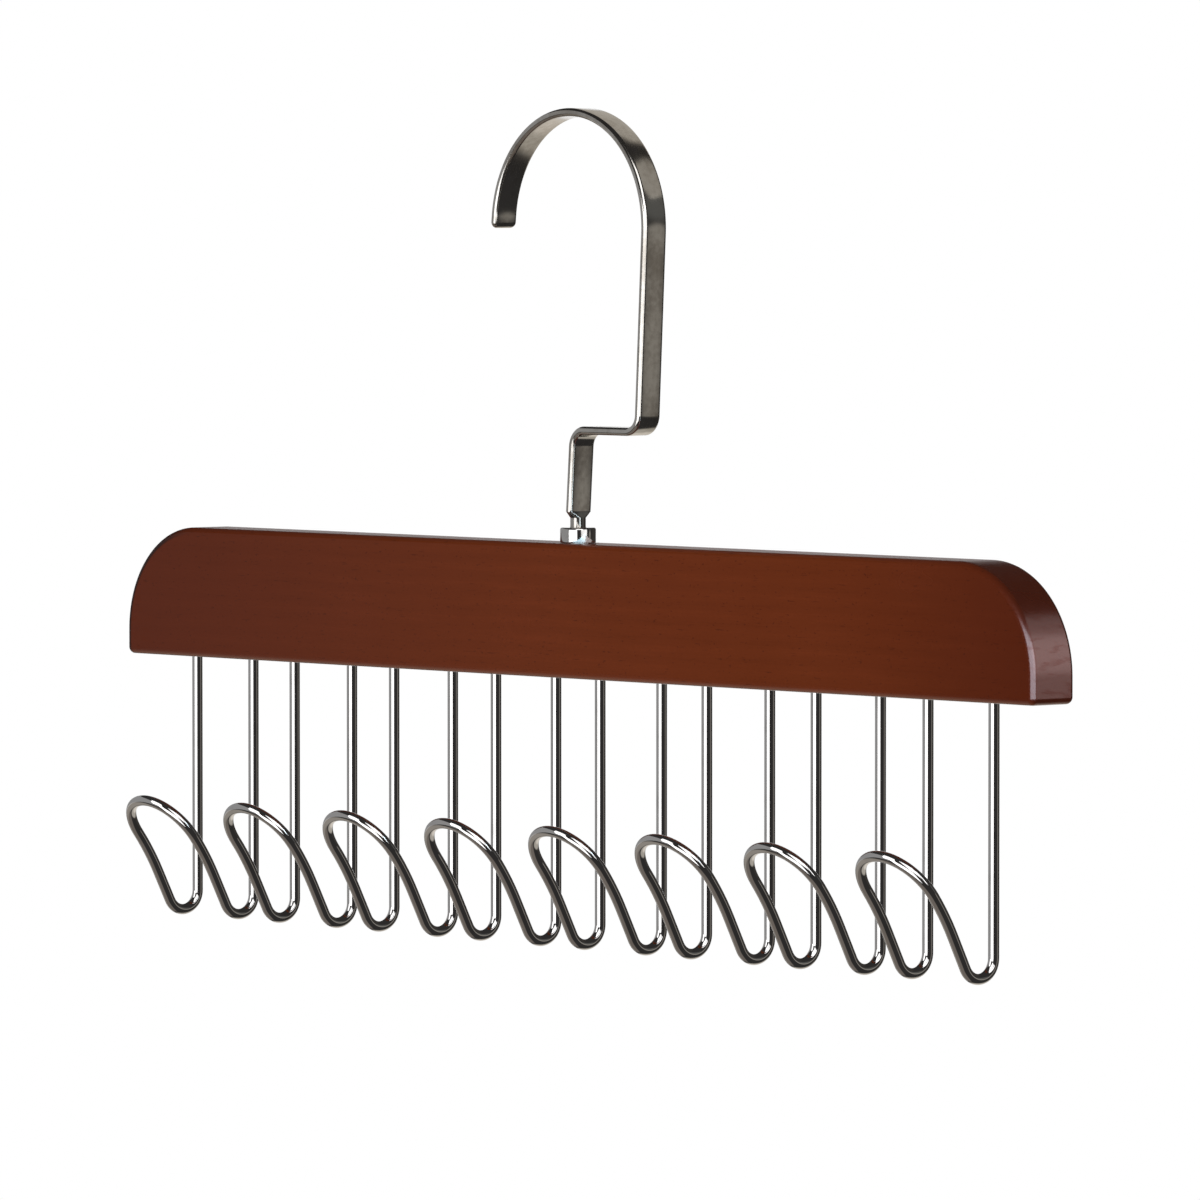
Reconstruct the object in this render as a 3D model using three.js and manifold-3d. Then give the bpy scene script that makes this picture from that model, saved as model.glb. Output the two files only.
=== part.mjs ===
// Accessory hanger: a lacquered wood bar with a row of bent wire hooks along its underside, hung from a rod
// by a flat steel hook that swivels in a socket on top of the bar.
// Millimetres, +Z up, X along the bar, -Y the front, which the wire hooks open towards.
// The origin is the point inside the crown of the swivel hook that rests on the rod.

import * as THREE from 'three';
import { mergeVertices } from 'three/addons/utils/BufferGeometryUtils.js';
import Module from 'manifold-3d';

// Wood bar
const BAR_LENGTH = 320;
const BAR_HEIGHT = 31;
const BAR_THICKNESS = 13;
const BAR_END_FLAT = 8.5; // upright part of each end, under its round top corner
const BAR_FOOT_RADIUS = 1.6; // the two bottom corners, seen from the front
const BAR_EDGE_ROUND = 1.2; // easing along the front and back faces

// Wire hooks, each one length of wire bent into two legs, two seats and a front loop
const HOOK_COUNT = 8;
const HOOK_END_MARGIN = 30; // from the bar's end to the middle of the outermost hook
const WIRE_DIAMETER = 2.5;
const LEG_SPACING = 21.5; // between the centre lines of a hook's two legs
const LEG_INSERT = 15; // length of each leg glued into the bar
const HOOK_DROP = 61; // from the bar's underside to the centre line at the lowest point
const SEAT_RADIUS = 4.5; // centre line of the bend that a strap hangs in
const FRONT_LEAN = 27; // degrees from upright, towards the front
const FRONT_STRAIGHT = 8.1;
const CURL_RADIUS = 60; // outward curl that leads into the loop
const CURL_ANGLE = 10.5; // degrees

// Swivel hook, flattened from round wire, with its round end left as a shank
const STRIP_WIDTH = 6.8;
const STRIP_THICKNESS = 1.9;
const STRIP_EDGE_ROUND = 0.75;
const CROWN_RADIUS = 25.55; // inside of the arch that goes over the rod
const CROWN_SWEEP = 174.5; // degrees, from the level of the arch's centre round to the tip
const TIP_ROUND = 1.4; // corners of the tip, seen square to the flat
const UPPER_STEM = 41.4; // straight, between the arch and the crank
const UPPER_LEAN = 3; // degrees, outwards from the crank to the arch
const CRANK_RADIUS = 4; // centre line of the crank's two bends
const LOWER_STEM = 16.55; // straight, between the crank and the end of the flat
const LOWER_LEAN = 4; // degrees, from the neck towards the crank
const SHOULDER_HEIGHT = 1.3; // taper at the end of the flat
const NECK_DIAMETER = 3.6;
const NECK_LENGTH = 2.2; // round wire that shows above the socket
const RUNOUT_HEIGHT = 1.6; // height over which the round dies away into the flat
const RUNOUT_SINK = 0.15; // how far the top of the run-out lies under the flat
const HEAD_OVERHANG = 0.45; // peened end, beyond the shank
const HEAD_HEIGHT = 1.8;
const HEAD_CHAMFER = 0.5;

// Swivel socket, a turned bush pressed into the top of the bar, and the washer inside it
const COLLAR_HEIGHT = 3.5;
const COLLAR_OVERHANG = 1;
const COLLAR_EDGE_ROUND = 0.5;
const SOCKET_DEPTH = 15;
const SOCKET_WALL = 0.55;
const SOCKET_LIP = 3; // thickness of metal that the washer bears against
const WASHER_RIM = 0.55;
const WASHER_THICKNESS = 0.8;

// Clearances
const SWIVEL_CLEARANCE = 0.12; // round the shank and round the washer
const RUNNING_GAP = 0.1; // above and below the washer
const SEAT_GAP = 0.1; // under the collar
const SOCKET_FIT = 0.15; // round the socket's body
const LEG_FIT = 0.15; // glue line round each leg
const HOLE_END_GAP = 0.3; // past the end of whatever a blind hole holds
const CUT_PAST = 2; // how far a cutter stands out of the face that it cuts

// Facets
const WIRE_SIDES = 10;
const HOLE_SIDES = 12;
const TURNED_SIDES = 32;
const WIRE_STEP = 20; // degrees a facet, round a bend
const CURL_STEP = 4;
const LOOP_STEP = 15;
const STRIP_STEP = 7.5;

// Heights below the crown
const upperLean = THREE.MathUtils.degToRad(UPPER_LEAN);
const lowerLean = THREE.MathUtils.degToRad(LOWER_LEAN);
const archRadius = CROWN_RADIUS + STRIP_THICKNESS / 2;
const archDrop = archRadius * Math.sin(upperLean) + UPPER_STEM * Math.cos(upperLean);
const crankHeight = -CROWN_RADIUS - archDrop - CRANK_RADIUS * (1 - Math.sin(upperLean));
const stripEnd = crankHeight - CRANK_RADIUS * (1 - Math.sin(lowerLean)) - LOWER_STEM * Math.cos(lowerLean);
const collarTop = stripEnd - NECK_LENGTH;
const lipBottom = collarTop - SOCKET_LIP;
const washerTop = lipBottom - RUNNING_GAP;
const headTop = washerTop - WASHER_THICKNESS - RUNNING_GAP;
const barTop = collarTop - COLLAR_HEIGHT - SEAT_GAP;

// Radii about the swivel's axis, from the shank outwards
const neckRadius = NECK_DIAMETER / 2;
const boreRadius = neckRadius + SWIVEL_CLEARANCE;
const washerRadius = boreRadius + WASHER_RIM;
const cavityRadius = washerRadius + SWIVEL_CLEARANCE;
const socketRadius = cavityRadius + SOCKET_WALL;
const collarRadius = socketRadius + COLLAR_OVERHANG;

const legHoleRadius = WIRE_DIAMETER / 2 + LEG_FIT;
const hookPitch = (BAR_LENGTH - 2 * HOOK_END_MARGIN) / (HOOK_COUNT - 1);

const wood = new THREE.MeshStandardMaterial({ color: 0x5c2a1a, roughness: 0.4, metalness: 0 });
const chrome = new THREE.MeshStandardMaterial({ color: 0xd6d4d0, roughness: 0.12, metalness: 1 });
const polishedSteel = new THREE.MeshStandardMaterial({ color: 0xbdb9b2, roughness: 0.25, metalness: 1 });
const zincSteel = new THREE.MeshStandardMaterial({ color: 0x9a9a98, roughness: 0.5, metalness: 1 });

const X = new THREE.Vector3(1, 0, 0);
const Y = new THREE.Vector3(0, 1, 0);
const Z = new THREE.Vector3(0, 0, 1);
const reversed = (axis) => axis.clone().negate();

const wasm = await Module();
wasm.setup();

function solidFrom(geometry) {
  const bare = geometry.clone();
  bare.deleteAttribute('normal');
  bare.deleteAttribute('uv');
  const merged = mergeVertices(bare);
  const mesh = new wasm.Mesh({
    numProp: 3,
    vertProperties: new Float32Array(merged.attributes.position.array),
    triVerts: new Uint32Array(merged.index.array),
  });
  return new wasm.Manifold(mesh);
}

function geometryFrom(solid) {
  const { vertProperties, triVerts } = solid.getMesh();
  const geometry = new THREE.BufferGeometry();
  geometry.setAttribute('position', new THREE.BufferAttribute(vertProperties, 3));
  geometry.setIndex(new THREE.BufferAttribute(triVerts, 1));
  const faceted = geometry.toNonIndexed();
  faceted.computeVertexNormals();
  return faceted;
}

// A solid turned about Z, from its profile of [radius, height] points, taken anticlockwise.
function turned(profile) {
  const points = profile.map(([radius, height]) => new THREE.Vector2(radius, height));
  return new THREE.LatheGeometry(points, TURNED_SIDES).rotateX(Math.PI / 2);
}

// A round drill for a blind hole: its mouth is at z = 0, and it goes down by the depth.
function drill(radius, depth, sides) {
  const length = depth + CUT_PAST;
  return new THREE.CylinderGeometry(radius, radius, length, sides)
    .rotateX(Math.PI / 2)
    .translate(0, 0, CUT_PAST - length / 2);
}

function roundedRectangle(width, height, radius) {
  const right = width / 2 - radius;
  const top = height / 2 - radius;
  const quarter = Math.PI / 2;
  const outline = new THREE.Shape();
  outline.absarc(right, top, radius, 0, quarter);
  outline.absarc(-right, top, radius, quarter, 2 * quarter);
  outline.absarc(-right, -top, radius, 2 * quarter, 3 * quarter);
  outline.absarc(right, -top, radius, 3 * quarter, 4 * quarter);
  return outline;
}

// The centre line of a bent rod, written as its bending steps: straight runs, and bends about an axis by the
// right-hand rule. It has a station at each end of a run and at each facet of a bend.
class BentPath extends THREE.Curve {
  constructor(start, heading) {
    super();
    this.stations = [{ point: start, heading }];
  }

  straight(length) {
    const { point, heading } = this.stations.at(-1);
    this.stations.push({ point: point.clone().addScaledVector(heading, length), heading });
    return this;
  }

  bend(radius, degrees, axis, stepDegrees) {
    const { point, heading } = this.stations.at(-1);
    const inwards = axis.clone().cross(heading);
    const centre = point.clone().addScaledVector(inwards, radius);
    const spoke = point.clone().sub(centre);
    const steps = Math.ceil(degrees / stepDegrees);
    for (let step = 1; step <= steps; step += 1) {
      const turn = THREE.MathUtils.degToRad((degrees * step) / steps);
      this.stations.push({
        point: spoke.clone().applyAxisAngle(axis, turn).add(centre),
        heading: heading.clone().applyAxisAngle(axis, turn),
      });
    }
    return this;
  }

  stationAt(u) {
    return this.stations[Math.round(u * (this.stations.length - 1))];
  }

  getPointAt(u, target = new THREE.Vector3()) {
    return target.copy(this.stationAt(u).point);
  }

  getTangentAt(u, target = new THREE.Vector3()) {
    return target.copy(this.stationAt(u).heading);
  }

  sweep(section, curveSegments) {
    const steps = this.stations.length - 1;
    return new THREE.ExtrudeGeometry(section, { steps, extrudePath: this, curveSegments });
  }
}

// One wire hook, centred on x = 0, with z = 0 at the bar's underside. The wire goes down the left leg, round
// the seat to the front, up and outwards, over the loop, and back the same way to the right leg.
function wireHook() {
  const legLength = LEG_INSERT + HOOK_DROP - SEAT_RADIUS;
  const seatAngle = 180 - FRONT_LEAN;
  const path = new BentPath(new THREE.Vector3(-LEG_SPACING / 2, 0, LEG_INSERT), reversed(Z))
    .straight(legLength)
    .bend(SEAT_RADIUS, seatAngle, reversed(X), WIRE_STEP)
    .straight(FRONT_STRAIGHT)
    .bend(CURL_RADIUS, CURL_ANGLE, X, CURL_STEP);
  const loopAxis = path.stations.at(-1).heading.clone().cross(X);
  path
    .bend(LEG_SPACING / 2, 180, loopAxis, LOOP_STEP)
    .bend(CURL_RADIUS, CURL_ANGLE, reversed(X), CURL_STEP)
    .straight(FRONT_STRAIGHT)
    .bend(SEAT_RADIUS, seatAngle, X, WIRE_STEP)
    .straight(legLength);
  const section = new THREE.Shape().absarc(0, 0, WIRE_DIAMETER / 2, 0, 2 * Math.PI);
  return path.sweep(section, WIRE_SIDES / 2);
}

// Bar blank: square feet with a small radius, large round top corners, and both faces eased all round.
// Its top is at z = 0. Drilled from below for each leg and from above for the socket.
function woodBar(hookPlaces) {
  const end = BAR_LENGTH / 2;
  const foot = BAR_FOOT_RADIUS;
  const corner = BAR_HEIGHT - BAR_END_FLAT;
  const quarter = Math.PI / 2;
  const outline = new THREE.Shape();
  outline.absarc(end - foot, foot - BAR_HEIGHT, foot, -quarter, 0);
  outline.absarc(end - corner, -corner, corner, 0, quarter);
  outline.absarc(corner - end, -corner, corner, quarter, 2 * quarter);
  outline.absarc(foot - end, foot - BAR_HEIGHT, foot, 2 * quarter, 3 * quarter);
  const depth = BAR_THICKNESS - 2 * BAR_EDGE_ROUND;
  const blank = new THREE.ExtrudeGeometry(outline, {
    depth,
    bevelThickness: BAR_EDGE_ROUND,
    bevelSize: BAR_EDGE_ROUND,
    bevelOffset: -BAR_EDGE_ROUND,
    bevelSegments: 3,
    curveSegments: 6,
  });
  blank.translate(0, 0, -depth / 2).rotateX(Math.PI / 2);

  const socketHole = drill(socketRadius + SOCKET_FIT, SOCKET_DEPTH + HOLE_END_GAP, TURNED_SIDES);
  let bar = solidFrom(blank).subtract(solidFrom(socketHole));
  for (const place of hookPlaces) {
    for (const side of [-1, 1]) {
      const legHole = drill(legHoleRadius, LEG_INSERT + HOLE_END_GAP, HOLE_SIDES)
        .rotateX(Math.PI)
        .translate(place + (side * LEG_SPACING) / 2, 0, -BAR_HEIGHT);
      bar = bar.subtract(solidFrom(legHole));
    }
  }
  return geometryFrom(bar);
}

// The flat strip is bent up from its lower end: stem, crank out to one side, upper stem, and the arch back
// over the swivel's axis to a tip with round corners. Its lower end tapers to the round shank, whose end is
// peened under the washer.
function swivelHook() {
  const crankStart = LOWER_STEM * Math.sin(lowerLean) + CRANK_RADIUS * Math.cos(lowerLean);
  const crankEnd = (archRadius - CRANK_RADIUS) * Math.cos(upperLean) - UPPER_STEM * Math.sin(upperLean);
  const path = new BentPath(new THREE.Vector3(0, 0, stripEnd), Z.clone().applyAxisAngle(Y, lowerLean))
    .straight(LOWER_STEM)
    .bend(CRANK_RADIUS, 90 - LOWER_LEAN, Y, STRIP_STEP * 2)
    .straight(crankEnd - crankStart)
    .bend(CRANK_RADIUS, 90 - UPPER_LEAN, reversed(Y), STRIP_STEP * 2)
    .straight(UPPER_STEM)
    .bend(archRadius, UPPER_LEAN + CROWN_SWEEP, reversed(Y), STRIP_STEP)
    .straight(TIP_ROUND);
  const strip = path.sweep(roundedRectangle(STRIP_WIDTH, STRIP_THICKNESS, STRIP_EDGE_ROUND), 1);

  const tipDepth = STRIP_THICKNESS - 2 * STRIP_EDGE_ROUND;
  const { point, heading } = path.stations.at(-1);
  const tip = new THREE.ExtrudeGeometry(roundedRectangle(STRIP_WIDTH, 2 * TIP_ROUND, TIP_ROUND), {
    depth: tipDepth,
    bevelThickness: STRIP_EDGE_ROUND,
    bevelSize: STRIP_EDGE_ROUND,
    bevelOffset: -STRIP_EDGE_ROUND,
    bevelSegments: 2,
    curveSegments: 2,
  });
  tip
    .translate(0, 0, -tipDepth / 2)
    .applyMatrix4(new THREE.Matrix4().makeBasis(Y, heading, Y.clone().cross(heading)).setPosition(point));

  const shoulderRadius = STRIP_WIDTH / 2;
  const clear = shoulderRadius + CUT_PAST;
  const shoulderCutter = turned([
    [neckRadius, stripEnd],
    [neckRadius, stripEnd - CUT_PAST],
    [clear, stripEnd - CUT_PAST],
    [clear, stripEnd + SHOULDER_HEIGHT],
    [shoulderRadius, stripEnd + SHOULDER_HEIGHT],
    [neckRadius, stripEnd],
  ]);

  const headRadius = neckRadius + HEAD_OVERHANG;
  const headBottom = headTop - HEAD_HEIGHT;
  const shank = turned([
    [0, headBottom],
    [headRadius - HEAD_CHAMFER, headBottom],
    [headRadius, headBottom + HEAD_CHAMFER],
    [headRadius, headTop],
    [neckRadius, headTop],
    [neckRadius, stripEnd],
    [STRIP_THICKNESS / 2 - RUNOUT_SINK, stripEnd + RUNOUT_HEIGHT],
    [0, stripEnd + RUNOUT_HEIGHT],
  ]);
  const cropped = solidFrom(strip).subtract(solidFrom(shoulderCutter));
  return geometryFrom(cropped.add(solidFrom(tip)).add(solidFrom(shank)));
}

// Turned bush: a collar on top of the bar, a body pressed into the bar, and a lip round the shank inside.
function swivelSocket() {
  const bottom = barTop - SOCKET_DEPTH;
  const collarBottom = barTop + SEAT_GAP;
  const profile = [
    [boreRadius, collarTop],
    [boreRadius, lipBottom],
    [cavityRadius, lipBottom],
    [cavityRadius, bottom],
    [socketRadius, bottom],
    [socketRadius, collarBottom],
    [collarRadius, collarBottom],
  ];
  const rounding = 3;
  for (let step = 0; step <= rounding; step += 1) {
    const angle = (Math.PI / 2) * (step / rounding);
    profile.push([
      collarRadius - COLLAR_EDGE_ROUND * (1 - Math.cos(angle)),
      collarTop - COLLAR_EDGE_ROUND * (1 - Math.sin(angle)),
    ]);
  }
  profile.push(profile[0]);
  return turned(profile);
}

function retainingWasher() {
  const washerBottom = washerTop - WASHER_THICKNESS;
  return turned([
    [boreRadius, washerTop],
    [boreRadius, washerBottom],
    [washerRadius, washerBottom],
    [washerRadius, washerTop],
    [boreRadius, washerTop],
  ]);
}

function named(name, geometry, material) {
  const mesh = new THREE.Mesh(geometry, material);
  mesh.name = name;
  return mesh;
}

const hookPlaces = Array.from({ length: HOOK_COUNT }, (_, i) => (i - (HOOK_COUNT - 1) / 2) * hookPitch);

const hanger = new THREE.Group();
hanger.add(named('swivel_hook', swivelHook(), polishedSteel));
hanger.add(named('retaining_washer', retainingWasher(), zincSteel));
hanger.add(named('swivel_socket', swivelSocket(), chrome));

const bar = named('wood_bar', woodBar(hookPlaces), wood);
bar.position.z = barTop;
hanger.add(bar);

hookPlaces.forEach((place, i) => {
  const hook = named(`wire_hook_${i + 1}`, wireHook(), chrome);
  hook.position.set(place, 0, barTop - BAR_HEIGHT);
  hanger.add(hook);
});

export default hanger;
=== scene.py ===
import math

import bmesh
import bpy
from mathutils import Matrix, Vector


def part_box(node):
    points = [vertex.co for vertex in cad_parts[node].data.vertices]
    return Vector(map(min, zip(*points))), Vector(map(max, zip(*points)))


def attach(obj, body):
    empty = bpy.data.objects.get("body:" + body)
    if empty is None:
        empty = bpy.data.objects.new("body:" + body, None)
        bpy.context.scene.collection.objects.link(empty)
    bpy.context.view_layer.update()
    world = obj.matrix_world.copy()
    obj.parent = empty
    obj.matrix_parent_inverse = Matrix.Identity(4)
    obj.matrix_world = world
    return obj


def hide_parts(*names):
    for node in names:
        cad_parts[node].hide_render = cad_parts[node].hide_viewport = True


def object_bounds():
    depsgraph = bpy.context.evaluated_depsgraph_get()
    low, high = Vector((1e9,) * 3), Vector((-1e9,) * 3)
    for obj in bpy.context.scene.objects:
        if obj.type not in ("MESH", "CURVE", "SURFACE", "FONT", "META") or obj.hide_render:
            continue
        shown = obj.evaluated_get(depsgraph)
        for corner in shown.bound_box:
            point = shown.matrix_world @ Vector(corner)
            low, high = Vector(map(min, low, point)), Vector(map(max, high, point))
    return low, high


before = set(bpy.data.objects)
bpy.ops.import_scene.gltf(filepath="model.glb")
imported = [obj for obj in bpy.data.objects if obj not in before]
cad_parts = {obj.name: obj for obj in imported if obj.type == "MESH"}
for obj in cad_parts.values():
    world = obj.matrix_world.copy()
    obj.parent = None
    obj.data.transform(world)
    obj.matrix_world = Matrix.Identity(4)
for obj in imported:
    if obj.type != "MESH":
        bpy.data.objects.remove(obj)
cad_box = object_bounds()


# Wood bar
# A solid length of close-grained hardwood with round top corners and eased edges. It is drilled from below
# for the wire legs and from above for the socket, then stained red-brown and lacquered to a satin gloss.
MM = 0.001
BAR_CORNER = 25 * MM
BAR_CORNER_STEPS = 48
BAR_FOOT = 1.6 * MM
BAR_EASE = 1.6 * MM
BAR_EDGE_STEPS = 8
HOOK_COUNT = 8
HOOK_NODES = [f"wire_hook_{number}" for number in range(1, HOOK_COUNT + 1)]
LEG_SPACING = 21.5 * MM
WIRE_RADIUS = 1.25 * MM
SOCKET_BODY_RADIUS = 3.14 * MM
SOCKET_DEPTH = 15 * MM
FIT_GAP = 0.15 * MM
HOLE_END_GAP = 0.3 * MM
HOLE_SIDES = 40
CUT_PAST = 2 * MM
SAME_PLACE = 0.01 * MM
SMOOTH_BELOW = math.radians(35)

bar_low, bar_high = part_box("wood_bar")
bar_size = bar_high - bar_low
bar_middle = (bar_low + bar_high) / 2


class Number:
    """A shader value. Each sum written with it adds one Math node to its shading."""

    def __init__(self, shading, socket):
        self.shading = shading
        self.socket = socket

    def math(self, operation, first, second):
        return self.shading.node("ShaderNodeMath", {"operation": operation}, {0: first, 1: second})

    def __add__(self, other):
        return self.math("ADD", self, other)

    def __radd__(self, other):
        return self.math("ADD", other, self)

    def __sub__(self, other):
        return self.math("SUBTRACT", self, other)

    def __rsub__(self, other):
        return self.math("SUBTRACT", other, self)

    def __mul__(self, other):
        return self.math("MULTIPLY", self, other)

    def __rmul__(self, other):
        return self.math("MULTIPLY", other, self)


class Shading:
    """The node tree of one finish, built up node by node."""

    MIX_FIRST = 6
    MIX_SECOND = 7
    MIX_RESULT = 2

    def __init__(self, owner):
        self.owner = owner
        owner.use_nodes = True
        self.tree = owner.node_tree
        self.tree.nodes.clear()

    def node(self, kind, settings=None, inputs=None, output=0):
        made = self.tree.nodes.new(kind)
        for name, value in (settings or {}).items():
            setattr(made, name, value)
        for name, value in (inputs or {}).items():
            if isinstance(value, Number):
                self.tree.links.new(value.socket, made.inputs[name])
            else:
                made.inputs[name].default_value = value
        return Number(self, made.outputs[output]) if made.outputs else None

    def place(self):
        return self.node("ShaderNodeTexCoord", output="Object")

    def part(self, vector, axis):
        return self.node("ShaderNodeSeparateXYZ", {}, {"Vector": vector}, output=axis)

    def length(self, vector):
        return self.node("ShaderNodeVectorMath", {"operation": "LENGTH"}, {0: vector}, output="Value")

    def noise(self, vector, grain, detail):
        stretched = self.node("ShaderNodeMapping", {}, {"Vector": vector, "Scale": grain})
        inputs = {"Vector": stretched, "Scale": 1, "Detail": detail}
        return self.node("ShaderNodeTexNoise", {}, inputs, output="Fac")

    def ramp(self, value, start, full):
        inputs = {"Value": value, "From Min": start, "From Max": full}
        return self.node("ShaderNodeMapRange", {"interpolation_type": "SMOOTHSTEP"}, inputs)

    def near(self, value, edge, start, full):
        return self.ramp(value, edge + start, edge + full)

    def blend(self, factor, first, second):
        inputs = {"Factor": factor, self.MIX_FIRST: first, self.MIX_SECOND: second}
        return self.node("ShaderNodeMix", {"data_type": "RGBA"}, inputs, output=self.MIX_RESULT)

    def bump(self, height, strength, depth):
        return self.node("ShaderNodeBump", {}, {"Strength": strength, "Distance": depth, "Height": height})

    def surface(self, inputs):
        shader = self.node("ShaderNodeBsdfPrincipled", {}, inputs)
        self.node("ShaderNodeOutputMaterial", {}, {"Surface": shader})
        return self.owner


STAIN_DARK = (0.133, 0.0230, 0.0036, 1)
STAIN_MIDDLE = (0.148, 0.0262, 0.0045, 1)
STAIN_LIGHT = (0.166, 0.0298, 0.0056, 1)
PAINTED_SHADE_AT_ENDS = (0.086, 0.0118, 0.0026, 1)
PAINTED_SHADE_ON_RIM = (0.012, 0.0050, 0.0040, 1)
PORE_BROWN = (0.050, 0.0080, 0.0020, 1)
UNDERSIDE_ORANGE = (0.230, 0.0680, 0.0200, 1)
LACQUER_RED = (1, 0.40, 0.38, 1)

# The year rings lie round the pith of the log, well outside the bar.
PITH = Vector((0, 70, -240)) * MM
RING_SCALE = 90
RING_WANDER = 5
RING_WANDER_DETAIL = 2
RING_WANDER_SCALE = 0.12

# How fine each mark is: about so many to the metre along X, Y and Z.
FIBRE_GRAIN = (70, 2200, 2200)
STREAK_GRAIN = (14, 420, 420)
CLOUD_GRAIN = (38, 70, 70)
PORE_GRAIN = (240, 2600, 2600)
SPECK_GRAIN = (1300, 1900, 1900)
MOTTLE_GRAIN = (1100, 1500, 1500)
KNOCK_GRAIN = (260, 180, 700)

# The levels of its noise at which a mark or a tone starts and at which it is full.
PORE_LEVELS = (0.66, 0.76)
SPECK_LEVELS = (0.76, 0.82)
KNOCK_LEVELS = (0.50, 0.66)
MIDDLE_LEVELS = (0.32, 0.48)
LIGHT_LEVELS = (0.48, 0.68)

# How far from the middle of the bar, or from the edge that the name gives, a change starts and is full.
RIGHT_DARKENS = (80 * MM, 175 * MM)
LEFT_DARKENS = (20 * MM, -180 * MM)
FROM_RIGHT_END = (-12 * MM, -2 * MM)
FROM_LEFT_END = (12 * MM, 2 * MM)
FROM_TOP = (-0.9 * MM, -0.1 * MM)
FROM_UNDERSIDE = (0.9 * MM, 0.2 * MM)
RIM_FROM_OUTLINE = (-2.0 * MM, -1.4 * MM)
RIM_FROM_FRONT = (1.2 * MM, 0.5 * MM)
RIM_FROM_LEFT_END = (26 * MM, 12 * MM)

RING_SHARE = 0.10
FIBRE_SHARE = 0.28
STREAK_SHARE = 0.16
CLOUD_SHARE = 0.26
MOTTLE_SHARE = 0.20
PORE_SHARE = 0.45
DARK_END_SHARE = 0.85
LEFT_END_SHARE = 0.8
DARK_RIM_SHARE = 0.9
UNDERSIDE_SHARE = 0.35
UNDERSIDE_FIBRE_SHARE = 0.5
FIBRE_RELIEF = 0.5
STREAK_RELIEF = 0.2
PORE_RELIEF = 0.2
GRAIN_STRENGTH = 0.15
GRAIN_DEPTH = 0.04 * MM
WOOD_ROUGHNESS = 0.22
CLOUD_ROUGHNESS = 0.08
HANDLED_ROUGHNESS = 0.22
LACQUER_WEIGHT = 0.6
LACQUER_ROUGHNESS = 0.20
KNOCK_LOSS = 0.3
HANDLED_LOSS = 0.32


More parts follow.
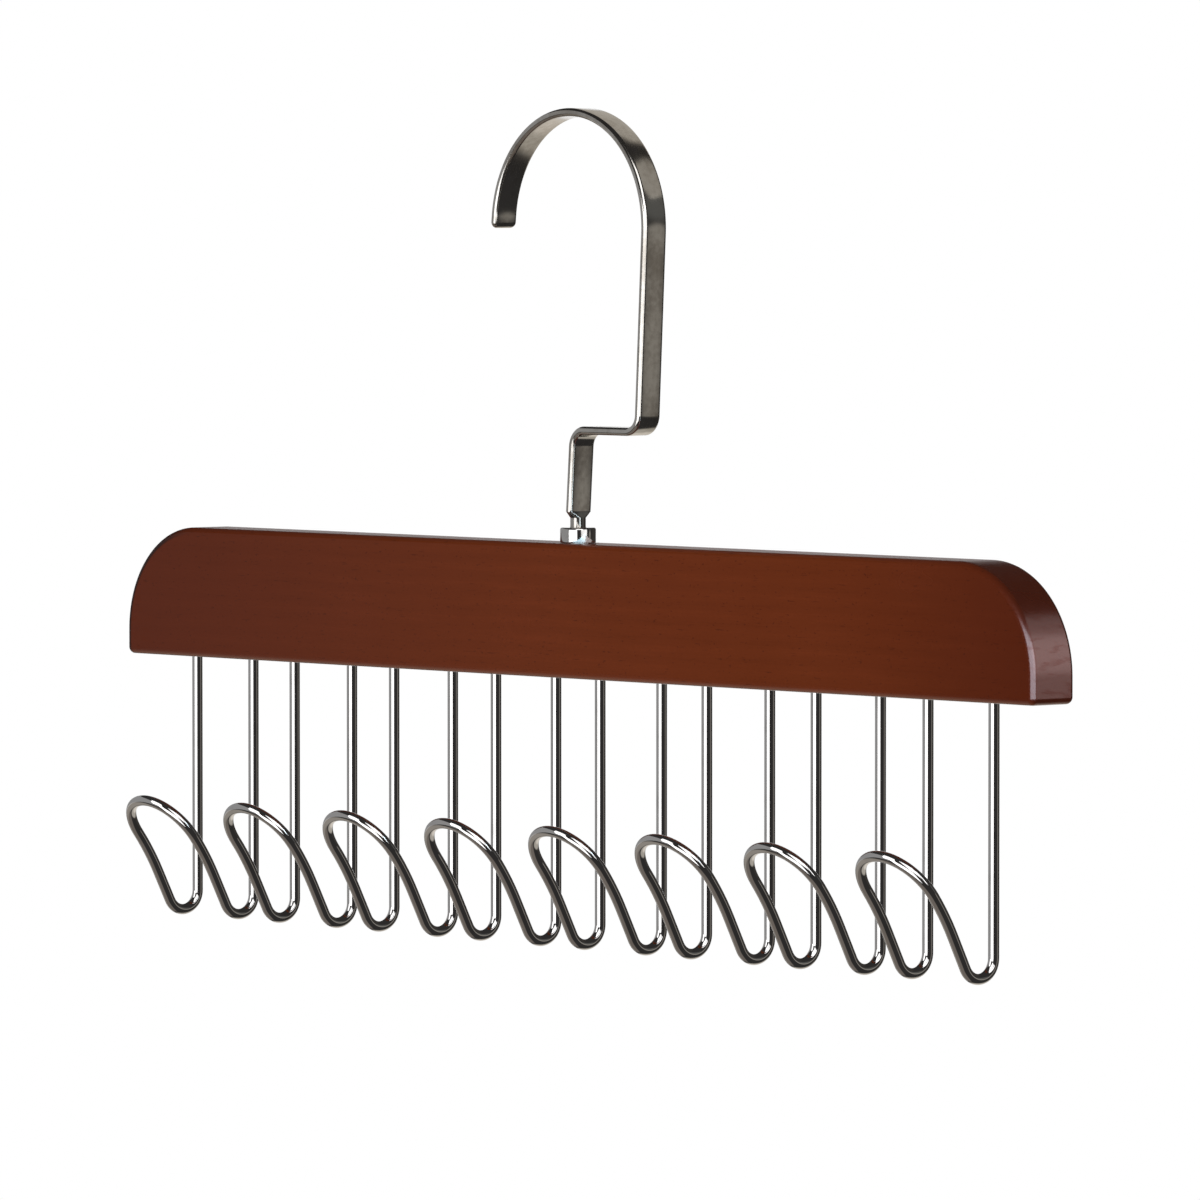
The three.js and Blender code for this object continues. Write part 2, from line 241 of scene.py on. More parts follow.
# The colour is the stain's, with painted shade added towards the ends and along the left end's front rim.
def stained_wood():
    shading = Shading(bpy.data.materials.new("stained_wood"))
    place = shading.place()
    along = shading.part(place, "X")
    across = shading.part(place, "Y")
    height = shading.part(place, "Z")
    from_pith = shading.node("ShaderNodeMapping", {}, {"Vector": place, "Location": -PITH})
    ring_settings = {"wave_type": "RINGS", "rings_direction": "X", "wave_profile": "SIN"}
    ring_inputs = {
        "Vector": from_pith,
        "Scale": RING_SCALE,
        "Distortion": RING_WANDER,
        "Detail": RING_WANDER_DETAIL,
        "Detail Scale": RING_WANDER_SCALE,
    }
    rings = shading.node("ShaderNodeTexWave", ring_settings, ring_inputs, output="Fac")
    fibres = shading.noise(place, FIBRE_GRAIN, detail=3)
    streaks = shading.noise(place, STREAK_GRAIN, detail=2)
    clouds = shading.noise(place, CLOUD_GRAIN, detail=2)
    pores = shading.ramp(shading.noise(place, PORE_GRAIN, detail=1), *PORE_LEVELS)
    specks = shading.ramp(shading.noise(place, SPECK_GRAIN, detail=0), *SPECK_LEVELS)
    mottle = shading.noise(place, MOTTLE_GRAIN, detail=2)
    knocks = shading.ramp(shading.noise(place, KNOCK_GRAIN, detail=3), *KNOCK_LEVELS)

    tone = RING_SHARE * rings + FIBRE_SHARE * fibres + STREAK_SHARE * streaks
    tone = tone + CLOUD_SHARE * clouds + MOTTLE_SHARE * mottle
    stain_and_shade = shading.blend(shading.ramp(tone, *MIDDLE_LEVELS), STAIN_DARK, STAIN_MIDDLE)
    stain_and_shade = shading.blend(shading.ramp(tone, *LIGHT_LEVELS), stain_and_shade, STAIN_LIGHT)
    # Painted shade: the colour darkens towards both ends of the bar, the right end more than the left, for
    # light that falls off there.
    end_shade = shading.ramp(along, *RIGHT_DARKENS) + LEFT_END_SHARE * shading.ramp(along, *LEFT_DARKENS)
    stain_and_shade = shading.blend(DARK_END_SHARE * end_shade, stain_and_shade, PAINTED_SHADE_AT_ENDS)
    # The colour turns lighter and more orange along the bottom edge, more so along the fibres.
    underside_edge = shading.near(height, bar_low.z, *FROM_UNDERSIDE)
    stain_and_shade = shading.blend(underside_edge * (UNDERSIDE_SHARE + UNDERSIDE_FIBRE_SHARE * fibres), stain_and_shade, UNDERSIDE_ORANGE)
    stain_and_shade = shading.blend(PORE_SHARE * pores + PORE_SHARE * specks, stain_and_shade, PORE_BROWN)

    # Painted shade: a dark line along the front rim of the left end's round corner, where the edge turns
    # away from the light.
    corner_shift = (bar_low.x + BAR_CORNER, 0, BAR_CORNER - bar_high.z)
    corner_inputs = {"Vector": place, "Location": corner_shift, "Scale": (-1, 0, 1)}
    outward = shading.node("ShaderNodeMapping", {}, corner_inputs)
    beyond = shading.node("ShaderNodeVectorMath", {"operation": "MAXIMUM"}, {0: outward, 1: (0, 0, 0)})
    rim = shading.near(shading.length(beyond), BAR_CORNER, *RIM_FROM_OUTLINE)
    rim = rim * shading.near(across, bar_low.y, *RIM_FROM_FRONT)
    rim = rim * shading.near(along, bar_low.x, *RIM_FROM_LEFT_END)
    stain_and_shade = shading.blend(DARK_RIM_SHARE * rim, stain_and_shade, PAINTED_SHADE_ON_RIM)

    handled = shading.near(height, bar_high.z, *FROM_TOP)
    right_end = shading.near(along, bar_high.x, *FROM_RIGHT_END)
    left_end = shading.near(along, bar_low.x, *FROM_LEFT_END)
    end_grain = right_end + left_end
    relief = FIBRE_RELIEF * fibres + STREAK_RELIEF * streaks - PORE_RELIEF * pores
    return shading.surface({
        "Base Color": stain_and_shade,
        "Roughness": WOOD_ROUGHNESS + CLOUD_ROUGHNESS * clouds + HANDLED_ROUGHNESS * handled,
        "Specular Tint": LACQUER_RED,
        "Normal": shading.bump(relief, GRAIN_STRENGTH, GRAIN_DEPTH),
        "Coat Weight": LACQUER_WEIGHT - KNOCK_LOSS * knocks * end_grain - HANDLED_LOSS * handled,
        "Coat Roughness": LACQUER_ROUGHNESS,
    })


def piece_from(name, shape, material):
    mesh = bpy.data.meshes.new(name)
    bmesh.ops.recalc_face_normals(shape, faces=shape.faces)
    shape.to_mesh(mesh)
    shape.free()
    mesh.shade_smooth()
    mesh.set_sharp_from_angle(angle=SMOOTH_BELOW)
    mesh.materials.append(material)
    piece = bpy.data.objects.new(name, mesh)
    bpy.context.scene.collection.objects.link(piece)
    return piece


def bevel_edges(shape, edges, width, segments):
    bmesh.ops.bevel(
        shape, geom=edges, offset=width, affect="EDGES", segments=segments, profile=0.5, material=-1
    )


def runs_across(edge):
    first, second = edge.verts
    return abs(first.co.y - second.co.y) > SAME_PLACE


def bore(shape, radius, bottom, top, x):
    middle = Matrix.Translation((x, 0, (bottom + top) / 2))
    bmesh.ops.create_cone(
        shape, cap_ends=True, segments=HOLE_SIDES, radius1=radius, radius2=radius, depth=top - bottom,
        matrix=middle,
    )


def leg_tops(node):
    """The upper ends of the left and the right leg of a wire hook, in the bar."""
    low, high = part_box(node)
    middle = (low.x + high.x) / 2
    return [Vector((middle + side * LEG_SPACING / 2, 0, high.z)) for side in (-1, 1)]


blank = bmesh.new()
bmesh.ops.create_cube(blank, size=1, matrix=Matrix.Translation(bar_middle) @ Matrix.Diagonal((*bar_size, 1)))
cross_edges = [edge for edge in blank.edges if runs_across(edge)]
upper_corners = [edge for edge in cross_edges if edge.verts[0].co.z > bar_middle.z]
lower_corners = [edge for edge in cross_edges if edge.verts[0].co.z < bar_middle.z]
bevel_edges(blank, upper_corners, BAR_CORNER, BAR_CORNER_STEPS)
bevel_edges(blank, lower_corners, BAR_FOOT, BAR_EDGE_STEPS)
long_edges = [edge for edge in blank.edges if not runs_across(edge)]
bevel_edges(blank, long_edges, BAR_EASE, BAR_EDGE_STEPS)
bar = piece_from("stained_bar", blank, stained_wood())

drills = bmesh.new()
socket_hole_end = bar_high.z - SOCKET_DEPTH - HOLE_END_GAP
bore(drills, SOCKET_BODY_RADIUS + FIT_GAP, socket_hole_end, bar_high.z + CUT_PAST, 0)
for node in HOOK_NODES:
    for leg_top in leg_tops(node):
        bore(drills, WIRE_RADIUS + FIT_GAP, bar_low.z - CUT_PAST, leg_top.z + HOLE_END_GAP, leg_top.x)
drill_set = piece_from("drill_set", drills, bar.active_material)
cut = bar.modifiers.new("drilled", "BOOLEAN")
cut.object = drill_set
cut.solver = "EXACT"
drilled = bpy.data.meshes.new_from_object(bar.evaluated_get(bpy.context.evaluated_depsgraph_get()))
bar.modifiers.clear()
bar.data = drilled
bpy.data.objects.remove(drill_set)
drilled.set_sharp_from_angle(angle=SMOOTH_BELOW)
even_faces = bar.modifiers.new("even_faces", "WEIGHTED_NORMAL")
even_faces.keep_sharp = True
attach(bar, "bar_assembly")
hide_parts("wood_bar")


# Swivel socket
# A turned steel bush, chrome plated, pressed into the top of the bar. Its collar stands on the wood, and the
# lip inside it carries the hook's washer.
COLLAR_ROUND = 0.5 * MM
COLLAR_ROUND_STEPS = 6
COLLAR_FOOT_ROUND = 0.15 * MM
COLLAR_FOOT_STEPS = 3
SEAT_GAP = 0.1 * MM
SOCKET_BORE_RADIUS = 1.92 * MM
SOCKET_CAVITY_RADIUS = 2.59 * MM
SOCKET_LIP = 3 * MM
SOCKET_SIDES = 96

CHROME = (0.78, 0.77, 0.76, 1)
CHROME_DULL = (0.62, 0.60, 0.58, 1)
TOOL_MARK_GRAIN = (40, 40, 9000)
TOOL_MARK_STRENGTH = 0.12
TOOL_MARK_DEPTH = 0.01 * MM
SMUDGE_GRAIN = (420, 420, 420)
HAZE_LEVELS = (0.5, 0.75)
CHROME_ROUGHNESS = 0.06
HAZE_ROUGHNESS = 0.06
TOOL_MARK_ROUGHNESS = 0.04


def turned_chrome():
    shading = Shading(bpy.data.materials.new("turned_chrome"))
    place = shading.place()
    tool_marks = shading.noise(place, TOOL_MARK_GRAIN, detail=1)
    haze = shading.ramp(shading.noise(place, SMUDGE_GRAIN, detail=3), *HAZE_LEVELS)
    return shading.surface({
        "Base Color": shading.blend(haze, CHROME, CHROME_DULL),
        "Metallic": 1,
        "Roughness": CHROME_ROUGHNESS + HAZE_ROUGHNESS * haze + TOOL_MARK_ROUGHNESS * tool_marks,
        "Normal": shading.bump(tool_marks, TOOL_MARK_STRENGTH, TOOL_MARK_DEPTH),
    })


socket_low, socket_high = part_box("swivel_socket")
collar_radius = socket_high.x
collar_foot = bar_high.z + SEAT_GAP
lip_bottom = socket_high.z - SOCKET_LIP
profile = [
    (SOCKET_BORE_RADIUS, socket_high.z),
    (SOCKET_BORE_RADIUS, lip_bottom),
    (SOCKET_CAVITY_RADIUS, lip_bottom),
    (SOCKET_CAVITY_RADIUS, socket_low.z),
    (SOCKET_BODY_RADIUS, socket_low.z),
    (SOCKET_BODY_RADIUS, collar_foot),
    (collar_radius, collar_foot),
    (collar_radius, socket_high.z),
]
bush = bmesh.new()
corners = [bush.verts.new((radius, 0, height)) for radius, height in profile]
outline = [bush.edges.new((corner, corners[index - 1])) for index, corner in enumerate(corners)]
bmesh.ops.spin(
    bush, geom=corners + outline, cent=(0, 0, 0), axis=(0, 0, 1), dvec=(0, 0, 0), angle=2 * math.pi,
    steps=SOCKET_SIDES, use_merge=True, use_duplicate=False,
)


def on_ring(edge, radius, height):
    return all(
        abs(Vector(corner.co.xy).length - radius) < SAME_PLACE and abs(corner.co.z - height) < SAME_PLACE
        for corner in edge.verts
    )


top_rim = [edge for edge in bush.edges if on_ring(edge, collar_radius, socket_high.z)]
foot_rim = [edge for edge in bush.edges if on_ring(edge, collar_radius, collar_foot)]
mouth_rim = [edge for edge in bush.edges if on_ring(edge, SOCKET_BORE_RADIUS, socket_high.z)]
bevel_edges(bush, top_rim, COLLAR_ROUND, COLLAR_ROUND_STEPS)
bevel_edges(bush, foot_rim + mouth_rim, COLLAR_FOOT_ROUND, COLLAR_FOOT_STEPS)
socket = piece_from("collar_bush", bush, turned_chrome())
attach(socket, "bar_assembly")
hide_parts("swivel_socket")


# Swivel hook
# One length of steel wire, rolled flat, bent cold into a stem, a crank, an upper stem and an arch, and
# nickel plated. Its lower end is left round as the shank that turns in the socket, and is peened over the
# washer.
STRIP_THICKNESS = 1.9 * MM
STRIP_EDGE_ROUND = 0.9 * MM
STRIP_CORNER_STEPS = 8
CROWN_RADIUS = 25.55 * MM
CROWN_SWEEP = 174.5
CROWN_STEPS = 96
TIP_ROUND = 1.4 * MM
TIP_STEPS = 8
UPPER_STEM = 41.4 * MM
UPPER_LEAN = 3
CRANK_RADIUS = 4 * MM
CRANK_STEPS = 16
LOWER_STEM = 16.55 * MM
LOWER_LEAN = 4
SHOULDER_HEIGHT = 1.45 * MM
SHOULDER_EASE = 0.4 * MM
NECK_RADIUS = 1.8 * MM
NECK_LENGTH = 2.2 * MM
HEAD_RADIUS = 2.25 * MM
HEAD_HEIGHT = 1.8 * MM
HEAD_CHAMFER = 0.5 * MM
X = Vector((1, 0, 0))
Y = Vector((0, 1, 0))
Z = Vector((0, 0, 1))

NICKEL = (0.74, 0.72, 0.685, 1)
NICKEL_DULL = (0.52, 0.485, 0.44, 1)
WAVE_GRAIN = (55, 55, 55)
WAVE_STRENGTH = 0.3
WAVE_DEPTH = 0.4 * MM
ROLLED_LINE_GRAIN = (2600, 2600, 2600)
DULL_SPOT_GRAIN = (700, 700, 700)
WAVES_IN_DULL = 0.75
SPOTS_IN_DULL = 0.25
DULL_LEVELS = (0.40, 0.64)
NICKEL_ROUGHNESS = 0.10
DULL_ROUGHNESS = 0.07
ROLLED_LINE_ROUGHNESS = 0.05


class RodBender:
    """Makes a rod from its first section by straight runs and by bends about an axis.

    Each point keeps its place in the section as the attribute "section", so that a finish can follow it.
    """

    def __init__(self, shape, ring, place, heading):
        self.shape = shape
        self.ring = ring
        self.place = Vector(place)
        self.heading = Vector(heading)
        section = shape.verts.layers.float_vector.new("section")
        for corner in self.corners():
            corner[section] = corner.co - self.place

    def corners(self):
        return list({corner for edge in self.ring for corner in edge.verts})

    def straight(self, length):
        grown = bmesh.ops.extrude_edge_only(self.shape, edges=self.ring)["geom"]
        self.ring = [part for part in grown if isinstance(part, bmesh.types.BMEdge)]
        step = self.heading * length
        bmesh.ops.translate(self.shape, vec=step, verts=self.corners())
        self.place += step
        return self

    def bend(self, radius, degrees, axis, steps):
        centre = self.place + axis.cross(self.heading) * radius
        turn = Matrix.Rotation(math.radians(degrees), 3, axis)
        grown = bmesh.ops.spin(
            self.shape, geom=self.ring, cent=centre, axis=axis, dvec=(0, 0, 0), angle=math.radians(degrees),
            steps=steps, use_duplicate=False,
        )["geom_last"]
        self.ring = [part for part in grown if isinstance(part, bmesh.types.BMEdge)]
        self.place = centre + turn @ (self.place - centre)
        self.heading = turn @ self.heading
        return self

    def narrow(self, side, side_factor, other_factor):
        other = side.cross(self.heading)
        axes = Matrix((side, other, self.heading))
        shrink = axes.transposed() @ Matrix.Diagonal((side_factor, other_factor, 1)) @ axes
        about = Matrix.Translation(self.place)
        bmesh.ops.transform(
            self.shape, matrix=about @ shrink.to_4x4() @ about.inverted(), verts=self.corners()
        )
        return self

    def close(self):
        bmesh.ops.contextual_create(self.shape, geom=self.ring)


def rolled_nickel():
    shading = Shading(bpy.data.materials.new("rolled_nickel"))
    place = shading.place()
    section = shading.node("ShaderNodeAttribute", {"attribute_name": "section"}, output="Vector")
    waves = shading.noise(place, WAVE_GRAIN, detail=1)
    rolled_lines = shading.noise(section, ROLLED_LINE_GRAIN, detail=2)
    spots = shading.noise(place, DULL_SPOT_GRAIN, detail=2)
    dull = shading.ramp(WAVES_IN_DULL * waves + SPOTS_IN_DULL * spots, *DULL_LEVELS)
    return shading.surface({
        "Base Color": shading.blend(dull, NICKEL, NICKEL_DULL),
        "Metallic": 1,
        "Roughness": NICKEL_ROUGHNESS + DULL_ROUGHNESS * dull + ROLLED_LINE_ROUGHNESS * rolled_lines,
        "Normal": shading.bump(waves, WAVE_STRENGTH, WAVE_DEPTH),
    })


hook_low, hook_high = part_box("swivel_hook")
strip_width = hook_high.y - hook_low.y
arch_radius = CROWN_RADIUS + STRIP_THICKNESS / 2
upper_lean = math.radians(UPPER_LEAN)
lower_lean = math.radians(LOWER_LEAN)
strip_end = socket_high.z + NECK_LENGTH
leaning = Matrix.Rotation(lower_lean, 4, Y)
stem_heading = (leaning @ Z).normalized()
flat_end = Vector((0, 0, strip_end)) + SHOULDER_HEIGHT * stem_heading
strip = bmesh.new()
bmesh.ops.create_grid(
    strip, x_segments=1, y_segments=1, size=0.5,
    matrix=Matrix.Translation(flat_end) @ leaning @ Matrix.Diagonal((STRIP_THICKNESS, strip_width, 1, 1)),
)
bmesh.ops.bevel(
    strip, geom=list(strip.verts), offset=STRIP_EDGE_ROUND, affect="VERTICES", segments=STRIP_CORNER_STEPS,
    profile=0.5, material=-1,
)
bmesh.ops.delete(strip, geom=list(strip.faces), context="FACES_ONLY")
first_ring = list(strip.edges)
crank_start = LOWER_STEM * math.sin(lower_lean) + CRANK_RADIUS * math.cos(lower_lean)
crank_end = (arch_radius - CRANK_RADIUS) * math.cos(upper_lean) - UPPER_STEM * math.sin(upper_lean)
flat = RodBender(strip, first_ring, flat_end, stem_heading)
flat.straight(SHOULDER_EASE).straight(LOWER_STEM - SHOULDER_HEIGHT - SHOULDER_EASE)
flat.bend(CRANK_RADIUS, 90 - LOWER_LEAN, Y, CRANK_STEPS)
flat.straight(crank_end - crank_start).bend(CRANK_RADIUS, 90 - UPPER_LEAN, -Y, CRANK_STEPS)
flat.straight(UPPER_STEM).bend(arch_radius, UPPER_LEAN + CROWN_SWEEP, -Y, CROWN_STEPS).straight(TIP_ROUND)
half_width = strip_width / 2
half_thickness = STRIP_THICKNESS / 2
turns = [math.radians(90 * step / TIP_STEPS) for step in range(TIP_STEPS + 1)]
for before, after in zip(turns, turns[1:]):
    flat.straight(TIP_ROUND * (math.sin(after) - math.sin(before)))
    widths = [half_width - TIP_ROUND * (1 - math.cos(turn)) for turn in (before, after)]
    depths = [half_thickness - STRIP_EDGE_ROUND * (1 - math.cos(turn)) for turn in (before, after)]
    flat.narrow(Y, widths[1] / widths[0], depths[1] / depths[0])
flat.close()

neck_top = Vector((0, 0, strip_end))
strip_edges = set(strip.edges)
bmesh.ops.create_circle(
    strip, cap_ends=False, segments=len(first_ring), radius=NECK_RADIUS, matrix=Matrix.Translation(neck_top)
)
neck_ring = [edge for edge in strip.edges if edge not in strip_edges]
bmesh.ops.bridge_loops(strip, edges=first_ring + neck_ring)
head_top = hook_low.z + HEAD_HEIGHT
shank = RodBender(strip, neck_ring, neck_top, -Z)
shank.straight(strip_end - head_top).straight(0)
shank.narrow(Y, HEAD_RADIUS / NECK_RADIUS, HEAD_RADIUS / NECK_RADIUS)
shank.straight(HEAD_HEIGHT - HEAD_CHAMFER).straight(HEAD_CHAMFER)
chamfered = (HEAD_RADIUS - HEAD_CHAMFER) / HEAD_RADIUS
shank.narrow(Y, chamfered, chamfered).close()
hook = piece_from("flat_hook", strip, rolled_nickel())
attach(hook, "hanging_hook")
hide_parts("swivel_hook")


# Retaining washer
# A small stamped washer, zinc plated, that turns with the hook inside the socket and carries its load to the
# lip. It keeps the drawn solid.
ZINC = (0.48, 0.48, 0.47, 1)
ZINC_PALE = (0.62, 0.63, 0.64, 1)
SPANGLE_GRAIN = (1500, 1500, 1500)
ZINC_ROUGHNESS = 0.38
SPANGLE_ROUGHNESS = 0.2


def zinc_plate():
    shading = Shading(bpy.data.materials.new("zinc_plate"))
    spangle = shading.noise(shading.place(), SPANGLE_GRAIN, detail=2)
    return shading.surface({
        "Base Color": shading.blend(spangle, ZINC, ZINC_PALE),
        "Metallic": 1,
        "Roughness": ZINC_ROUGHNESS + SPANGLE_ROUGHNESS * spangle,
    })


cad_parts["retaining_washer"].data.materials.clear()
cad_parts["retaining_washer"].data.materials.append(zinc_plate())


# Wire hooks
# Eight equal hooks, each one length of bright drawn wire, chrome plated after bending. Both legs are glued
# into the bar; each goes down to a round seat, out and up to the front, and over a loop to the other side.
WIRE_SIDES = 32
HOOK_DROP = 61 * MM
SEAT_RADIUS = 4.5 * MM
SEAT_STEPS = 24
FRONT_LEAN = 27
FRONT_STRAIGHT = 8.1 * MM
CURL_RADIUS = 60 * MM
CURL_ANGLE = 10.5
CURL_STEPS = 6
LOOP_STEPS = 40

WIRE_CHROME = (0.80, 0.79, 0.785, 1)
WIRE_CHROME_DULL = (0.60, 0.585, 0.57, 1)
DIE_LINE_GRAIN = (1800, 1800, 1800)
DIE_LINE_STRENGTH = 0.05
DIE_LINE_DEPTH = 0.02 * MM
PATCH_GRAIN = (160, 160, 160)
PATCH_LEVELS = (0.52, 0.78)
PATCH_SHARE = 0.6
WIRE_ROUGHNESS = 0.04
PATCH_ROUGHNESS = 0.05
DIE_LINE_ROUGHNESS = 0.02


def drawn_chrome():
    shading = Shading(bpy.data.materials.new("drawn_chrome"))
    section = shading.node("ShaderNodeAttribute", {"attribute_name": "section"}, output="Vector")
    die_lines = shading.noise(section, DIE_LINE_GRAIN, detail=1)
    patches = shading.ramp(shading.noise(shading.place(), PATCH_GRAIN, detail=3), *PATCH_LEVELS)
    return shading.surface({
        "Base Color": shading.blend(PATCH_SHARE * patches, WIRE_CHROME, WIRE_CHROME_DULL),
        "Metallic": 1,
        "Roughness": WIRE_ROUGHNESS + PATCH_ROUGHNESS * patches + DIE_LINE_ROUGHNESS * die_lines,
        "Normal": shading.bump(die_lines, DIE_LINE_STRENGTH, DIE_LINE_DEPTH),
    })


wire_finish = drawn_chrome()
wire_hooks = []
for number, node in enumerate(HOOK_NODES, 1):
    leg_top = leg_tops(node)[0]
    leg_length = leg_top.z - bar_low.z + HOOK_DROP - SEAT_RADIUS
    wire = bmesh.new()
    bmesh.ops.create_circle(
        wire, cap_ends=True, segments=WIRE_SIDES, radius=WIRE_RADIUS, matrix=Matrix.Translation(leg_top)
    )
    rod = RodBender(wire, list(wire.edges), leg_top, -Z)
    rod.straight(leg_length).bend(SEAT_RADIUS, 180 - FRONT_LEAN, -X, SEAT_STEPS)
    rod.straight(FRONT_STRAIGHT).bend(CURL_RADIUS, CURL_ANGLE, X, CURL_STEPS)
    rod.bend(LEG_SPACING / 2, 180, rod.heading.cross(X), LOOP_STEPS)
    rod.bend(CURL_RADIUS, CURL_ANGLE, -X, CURL_STEPS).straight(FRONT_STRAIGHT)
    rod.bend(SEAT_RADIUS, 180 - FRONT_LEAN, X, SEAT_STEPS).straight(leg_length).close()
    wire_hook = piece_from(f"bent_wire_{number}", wire, wire_finish)
    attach(wire_hook, "bar_assembly")
    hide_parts(node)
    # The mirror images of such thin wires in each other would show only as grain.
    wire_hook.visible_glossy = False
    wire_hooks.append(wire_hook)


# Studio
# A pale floor below the hanger, two soft windows in front of it and a soft box behind it. Cards give lacquer
# and plating their highlights, and polished metal sees a room that is white behind the hanger, grey and warm
# below it, and dark to the sides. The camera looks from the right of the front, a little above the bar.
CAMERA_AZIMUTH = 49.3
CAMERA_ELEVATION = 2.464
CAMERA_DISTANCE = 2.4
CAMERA_LENS = 313.5
CAMERA_SENSOR = 36
TARGET = Vector((7.75 * MM, 0, bar_high.z - 12.89 * MM))
FLOOR_RADIUS = 0.48
FLOOR_FADE_START = 0.168
FLOOR_SIDES = 96
FLOOR_BELOW = 0.12
FLOOR_COLOUR = (0.86, 0.86, 0.86, 1)
COOL = (0.66, 1, 1.16)
WARM = (1, 0.93, 0.82)


def towards(turn, rise):
    """The direction at so many degrees to the right of the camera, seen from it, and above the horizon."""
    bearing = math.radians(CAMERA_AZIMUTH - 90 + turn)
    level = math.cos(math.radians(rise))
    return Vector((level * math.cos(bearing), level * math.sin(bearing), math.sin(math.radians(rise))))


to_camera = towards(0, CAMERA_ELEVATION)
camera = bpy.data.objects.new("camera", bpy.data.cameras.new("camera"))
camera.data.lens = CAMERA_LENS
camera.data.sensor_width = CAMERA_SENSOR
camera.location = TARGET + CAMERA_DISTANCE * to_camera
camera.rotation_euler = to_camera.to_track_quat("Z", "Y").to_euler()
bpy.context.scene.collection.objects.link(camera)
bpy.context.scene.camera = camera
bpy.context.scene.view_settings.view_transform = "Standard"


def pale_floor():
    shading = Shading(bpy.data.materials.new("pale_floor"))
    fade = shading.ramp(shading.length(shading.place()), FLOOR_FADE_START, FLOOR_RADIUS)
    under = shading.node("ShaderNodeNewGeometry", output="Backfacing")
    paint = shading.node("ShaderNodeBsdfDiffuse", {}, {"Color": FLOOR_COLOUR})
    clear = shading.node("ShaderNodeBsdfTransparent")
    mixed = shading.node("ShaderNodeMixShader", {}, {0: fade + under, 1: paint, 2: clear})
    shading.node("ShaderNodeOutputMaterial", {}, {"Surface": mixed})
    return shading.owner


disc = bmesh.new()
floor_middle = Vector((0, 0, cad_box[0].z - FLOOR_BELOW))
bmesh.ops.create_circle(
    disc, cap_ends=True, segments=FLOOR_SIDES, radius=FLOOR_RADIUS, matrix=Matrix.Translation(floor_middle)
)
floor = piece_from("floor", disc, pale_floor())
floor.visible_glossy = False


def soft_box(name, turn, rise, distance, width, height, radiance, lit, shows="all", colour=(1, 1, 1)):
    lamp = bpy.data.lights.new(name, "AREA")
    lamp.shape = "RECTANGLE"
    lamp.size = width
    lamp.size_y = height
    lamp.color = colour
    lamp.energy = radiance * math.pi * width * height
    holder = bpy.data.objects.new(name, lamp)
    holder.location = bar_middle + distance * towards(turn, rise)
    holder.rotation_euler = towards(turn, rise).to_track_quat("Z", "Y").to_euler()
    holder.visible_camera = False
    holder.visible_diffuse = shows != "gloss"
    holder.visible_glossy = shows != "matt"
    receivers = bpy.data.collections.new(name)
    for piece in lit:
        receivers.objects.link(piece)
    holder.light_linking.receiver_collection = receivers
    bpy.context.scene.collection.objects.link(holder)


metal = [socket, hook, *wire_hooks]
soft_box(
    "left_window", turn=-57, rise=4, distance=1.2, width=0.66, height=1.0, radiance=2.9, lit=[bar, floor],
    shows="matt",
)
soft_box(
    "right_window", turn=-17, rise=6, distance=1.2, width=0.52, height=1.0, radiance=2.6, lit=[bar, floor],
    shows="matt",
)
soft_box(
    "back_box", turn=170, rise=45, distance=1.3, width=0.9, height=0.9, radiance=1.6, lit=[bar, floor],
    shows="matt",
)
soft_box("metal_window", turn=-34, rise=-8, distance=3, width=3.2, height=2.1, radiance=1.7, lit=metal)
soft_box("top_box", turn=10, rise=35, distance=1.2, width=0.9, height=0.9, radiance=1.6, lit=metal)
soft_box("rim_card", turn=-113, rise=8, distance=1.2, width=2.6, height=1.2, radiance=0.27, lit=metal)
soft_box("loop_card", turn=-62, rise=24, distance=3, width=1.5, height=2.5, radiance=1.6, lit=wire_hooks)
soft_box("seat_card", turn=44, rise=27, distance=3, width=0.68, height=2.0, radiance=1.6, lit=wire_hooks)
soft_box("edge_card", turn=40, rise=8, distance=1.2, width=0.85, height=0.7, radiance=1.3, lit=[socket])
soft_box("side_card", turn=17, rise=8, distance=1.2, width=1.07, height=0.7, radiance=1.5, lit=[hook])
soft_box(
    "shoulder_card", turn=95, rise=35, distance=3, width=1.3, height=1.3, radiance=0.30, lit=[hook],
    shows="gloss", colour=WARM,
)
soft_box(
    "arch_card", turn=162, rise=37, distance=3, width=2.2, height=2.1, radiance=0.41, lit=[hook],
    shows="gloss", colour=WARM,
)
soft_box(
    "veil_card", turn=-120, rise=-2, distance=1.2, width=0.9, height=0.9, radiance=0.11, lit=[bar],
    shows="gloss",
)
soft_box(
    "corner_card", turn=7, rise=11, distance=1.2, width=2.0, height=0.95, radiance=6.2, lit=[bar],
    shows="gloss", colour=COOL,
)
soft_box(
    "end_card", turn=58, rise=14, distance=1.0, width=1.6, height=0.5, radiance=1.35, lit=[bar],
    shows="gloss",
)
soft_box(
    "end_glow", turn=68, rise=17, distance=1.1, width=1.2, height=1.0, radiance=0.9, lit=[bar],
    shows="gloss",
)

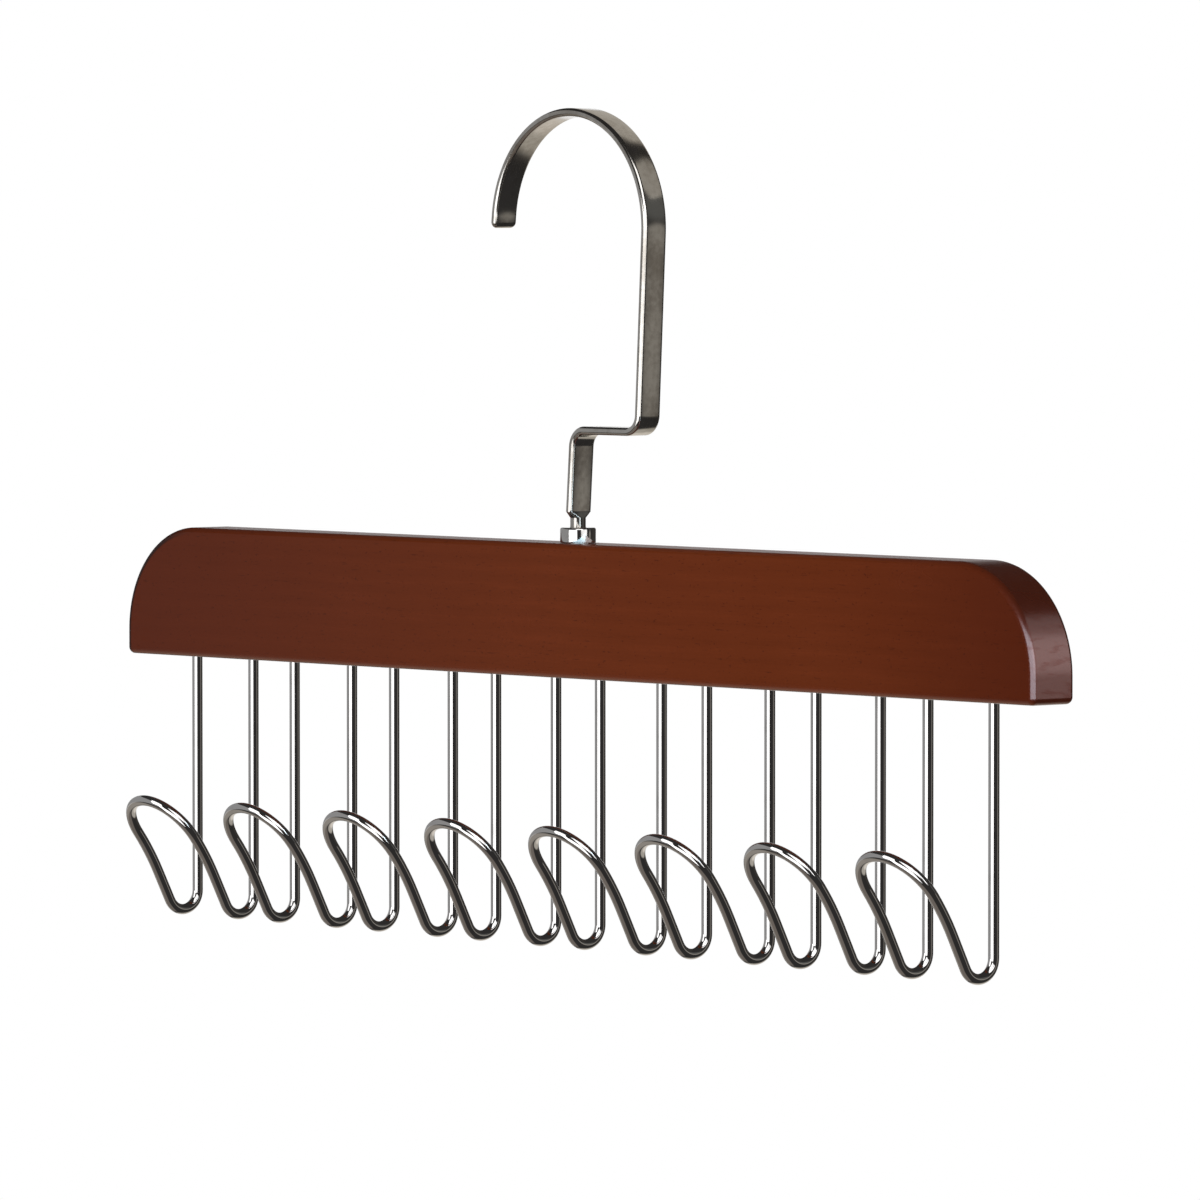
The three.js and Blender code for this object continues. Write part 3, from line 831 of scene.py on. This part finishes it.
AMBIENT = (0.29, 0.29, 0.295, 1)
WALL_DARK = (0.030, 0.0285, 0.028, 1)
WALL_LEFT_LOW = (0.30, 0.275, 0.245, 1)
WALL_BACK = (0.045, 0.041, 0.037, 1)
WALL_FLOOR = (0.17, 0.148, 0.130, 1)
WALL_RIGHT = (0.10, 0.10, 0.095, 1)
WALL_STEM = (0.27, 0.252, 0.225, 1)
WALL_LOW = (0.44, 0.41, 0.36, 1)
WALL_LOW_BACK = (0.70, 0.65, 0.58, 1)
WHITE = (1, 1, 1, 1)

world = bpy.data.worlds.new("studio")
bpy.context.scene.world = world
world.cycles.sampling_method = "NONE"
walls = Shading(world)
looking = walls.node("ShaderNodeTexCoord", output="Generated")


def with_patch(room, colour, turn, rise, inner, outer):
    """The room with a round patch of colour on its wall, full to one angle and faded out at the other."""
    sockets = {0: looking, 1: towards(turn, rise)}
    facing = walls.node("ShaderNodeVectorMath", {"operation": "DOT_PRODUCT"}, sockets, output="Value")
    patch = walls.ramp(facing, math.cos(math.radians(outer)), math.cos(math.radians(inner)))
    return walls.blend(patch, room, colour)


room = with_patch(WALL_DARK, WALL_LEFT_LOW, turn=-135, rise=-34, inner=16, outer=28)
room = with_patch(room, WALL_BACK, turn=135, rise=0, inner=26, outer=44)
room = with_patch(room, WALL_FLOOR, turn=-75, rise=-62, inner=27, outer=40)
room = with_patch(room, WALL_RIGHT, turn=84, rise=14, inner=5, outer=12)
room = with_patch(room, WALL_STEM, turn=82, rise=-4, inner=4.5, outer=9)
room = with_patch(room, WALL_LOW, turn=158, rise=-42, inner=20, outer=29)
room = with_patch(room, WALL_LOW_BACK, turn=170, rise=-32, inner=9, outer=20)
room = with_patch(room, WHITE, turn=180, rise=-2.5, inner=12, outer=20)
direct = walls.node("ShaderNodeLightPath", output="Is Camera Ray")
mirrored = walls.node("ShaderNodeLightPath", output="Is Glossy Ray")
through = walls.node("ShaderNodeLightPath", output="Is Transmission Ray")
seen = walls.blend(mirrored + through, AMBIENT, room)
seen = walls.blend(direct, seen, WHITE)
light = walls.node("ShaderNodeBackground", {}, {"Color": seen})
walls.node("ShaderNodeOutputWorld", {}, {"Surface": light})
